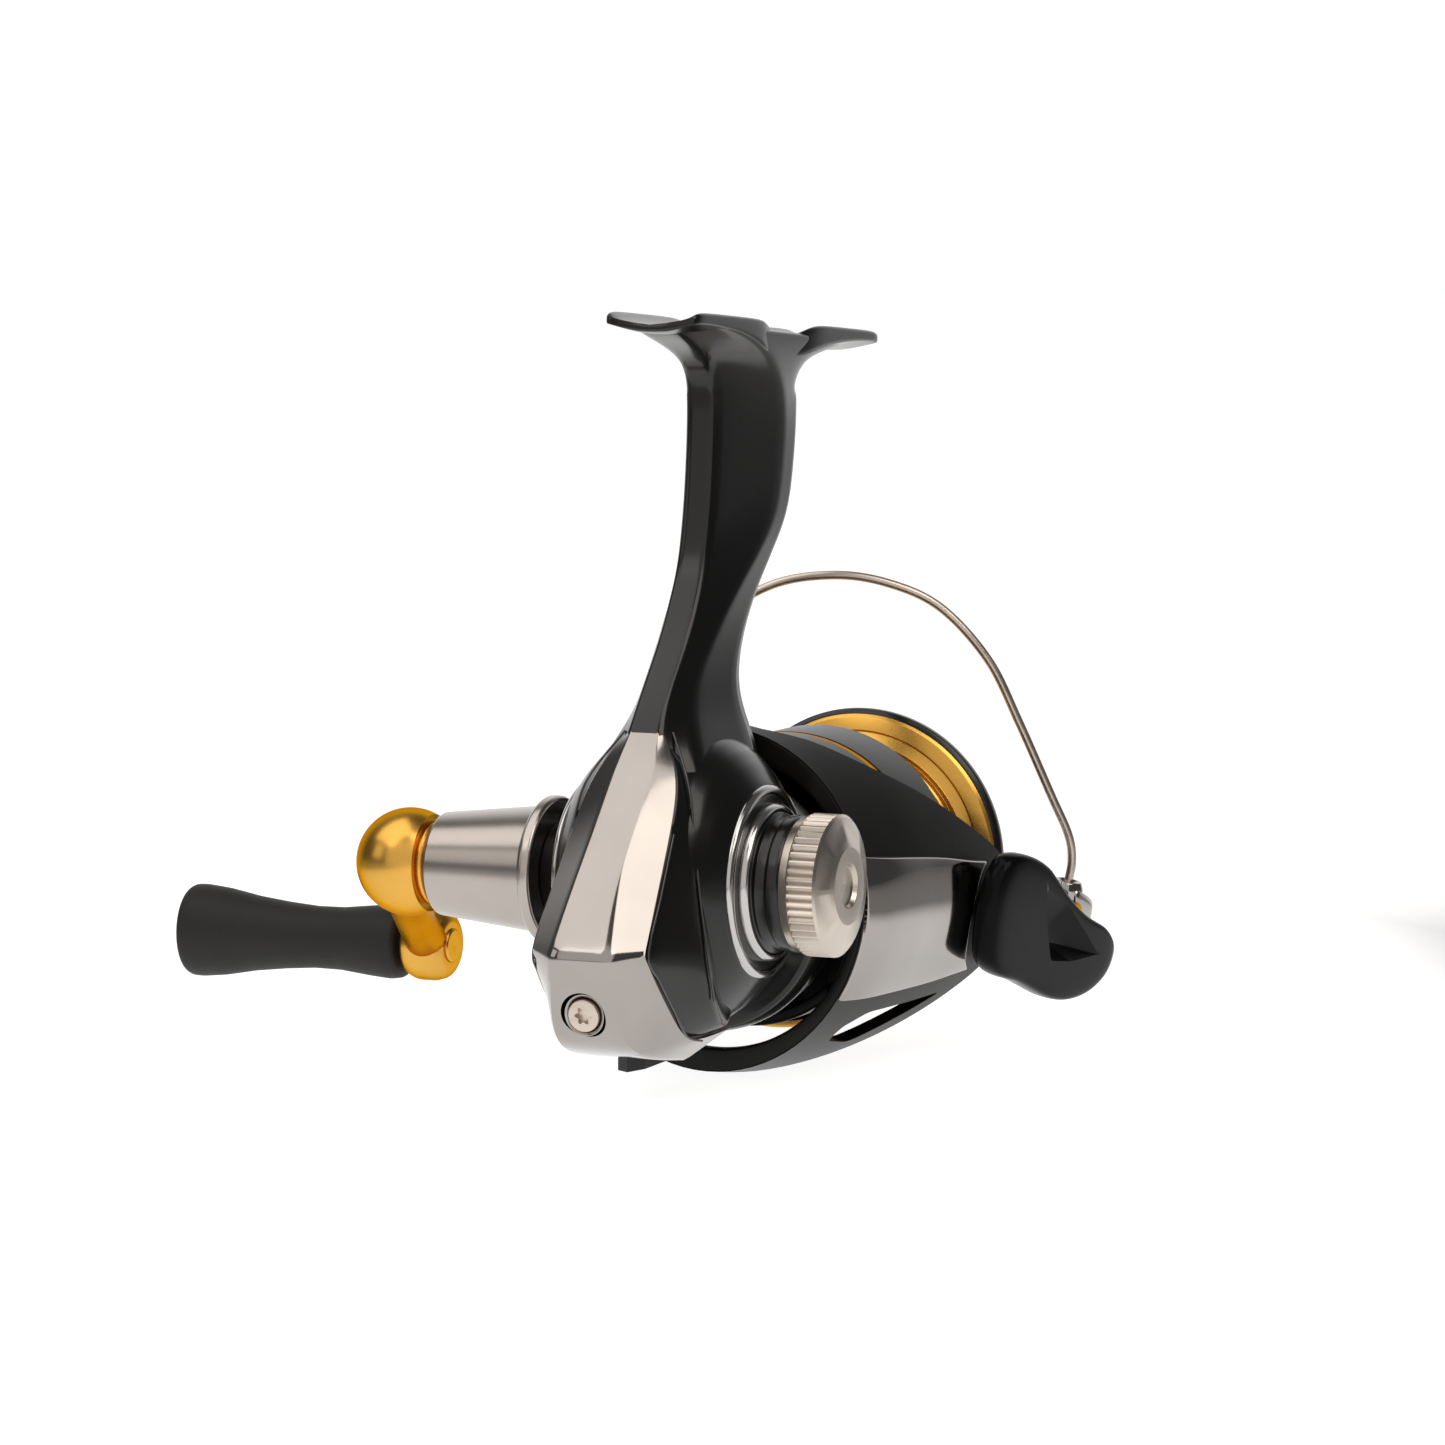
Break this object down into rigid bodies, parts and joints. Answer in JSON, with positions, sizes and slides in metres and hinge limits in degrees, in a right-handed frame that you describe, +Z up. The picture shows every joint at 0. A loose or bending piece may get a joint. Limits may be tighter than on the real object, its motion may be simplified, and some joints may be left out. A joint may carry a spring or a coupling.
{
  "type": "spinning reel",
  "caption": "Open-face spinning reel: housing with foot, geared rotor with folding bail and line roller, drag spool on a sliding shaft, and a crank handle with a turning knob.",
  "frame": {"origin": "middle of the seat on top of the foot, on the spool axis's plane", "axes": "+X along the spool axis towards the rod tip, +Y towards the handle, +Z up from the spool to the rod"},
  "size_m": [0.1022, 0.1234, 0.0969],
  "materials": {
    "gloss_black": "gloss",
    "satin_black": "satin",
    "chrome": "polished",
    "dark_chrome": "polished",
    "steel": "brushed",
    "gold": "satin anodised",
    "silver": "satin",
    "cast_alloy": "as cast",
    "brass": "machined",
    "black_rubber": "matt",
    "black_plastic": "matt",
    "white_plastic": "satin",
    "felt": "matt"
  },
  "bodies": {
    "housing": {"body": "gloss_black", "side_cover": "gloss_black", "rear_cover": "chrome", "rear_cover_screw": "steel", "side_trim_ring": "silver", "inner_trim_ring": "silver", "handle_side_ring": "silver", "cap_seat": "gloss_black", "gear_bearing_left": "steel", "gear_bearing_right": "steel", "pinion_bearing": "steel", "clutch_housing": "steel", "clutch_rollers": "steel", "clutch_retainer": "black_plastic", "oscillation_rail": "steel", "oscillating_gear_axle": "steel"},
    "handle": {"drive_gear": "cast_alloy", "handle_shaft": "steel", "handle_sleeve": "chrome", "handle_collar": "gloss_black", "handle_ring": "gold", "crank_arm": "gold", "handle_lock_cap": "silver", "knob_spindle": "steel", "knob_screw": "steel"},
    "knob": {"handle_knob": "black_rubber", "knob_end_cap": "black_plastic", "knob_bushes": "white_plastic"},
    "rotor": {"rotor": "satin_black", "pinion_gear": "brass", "clutch_sleeve": "steel", "rotor_nut": "steel", "arm_cover": "dark_chrome", "opposite_arm_cover": "dark_chrome", "bail_arm_screw": "steel", "bail_holder_screw": "steel"},
    "bail": {"bail_arm": "gloss_black", "bail_holder": "gloss_black", "bail_wire": "steel", "roller_bracket": "silver", "roller_screw": "steel", "roller_bush": "white_plastic"},
    "line_roller": {"line_roller": "gold"},
    "oscillating_gear": {"oscillating_gear": "white_plastic"},
    "shaft": {"main_shaft": "steel", "spool_support": "black_plastic", "oscillation_slider": "cast_alloy", "slider_screw": "steel"},
    "spool": {"spool": "gold", "spool_lip_ring": "gloss_black", "spool_skirt_band": "gloss_black", "spool_bush": "white_plastic", "drag_washers": "felt", "drag_retainer": "steel", "line_clip": "steel"},
    "drag_knob": {"drag_knob": "gloss_black", "drag_knob_nut": "brass"},
    "anti_reverse_lever": {"anti_reverse_lever": "black_plastic"}
  },
  "joints": [
    {"name": "handle_turn", "type": "hinge", "parent": "housing", "child": "handle", "pos_m": [-0.0203, 0, -0.0667], "axis": [0, 1, 0], "continuous": true},
    {"name": "knob_spin", "type": "hinge", "parent": "handle", "child": "knob", "pos_m": [0.0192, 0.0575, -0.083], "axis": [0, 1, 0], "continuous": true},
    {"name": "rotor_spin", "type": "hinge", "parent": "housing", "child": "rotor", "pos_m": [0, 0, -0.0707], "axis": [1, 0, 0], "continuous": true},
    {"name": "bail_flip", "type": "hinge", "parent": "rotor", "child": "bail", "pos_m": [0.0257, 0, -0.0707], "axis": [0, 0.9833, 0.1822], "range_deg": [0, 110]},
    {"name": "line_roller_spin", "type": "hinge", "parent": "bail", "child": "line_roller", "pos_m": [0.0443, -0.02755, -0.07845], "axis": [0, 0.9833, 0.1822], "continuous": true},
    {"name": "oscillating_gear_turn", "type": "hinge", "parent": "housing", "child": "oscillating_gear", "pos_m": [-0.0299, 0, -0.0739], "axis": [0, 1, 0], "continuous": true},
    {"name": "spool_stroke", "type": "slide", "parent": "housing", "child": "shaft", "axis": [1, 0, 0], "range_m": [0, 0.009]},
    {"name": "spool_drag_turn", "type": "hinge", "parent": "shaft", "child": "spool", "pos_m": [0.035, 0, -0.0707], "axis": [1, 0, 0], "continuous": true},
    {"name": "drag_knob_turn", "type": "hinge", "parent": "shaft", "child": "drag_knob", "pos_m": [0.04, 0, -0.0707], "axis": [1, 0, 0], "range_deg": [-540, 180]},
    {"name": "anti_reverse_turn", "type": "hinge", "parent": "housing", "child": "anti_reverse_lever", "pos_m": [-0.0213, 0.004, -0.0885], "axis": [0, 0, 1], "range_deg": [0, 30]}
  ],
  "couplings": [
    {"joint": "rotor_spin", "follows": "handle_turn", "ratio": -5.0833},
    {"joint": "oscillating_gear_turn", "follows": "handle_turn", "ratio": -0.5}
  ]
}
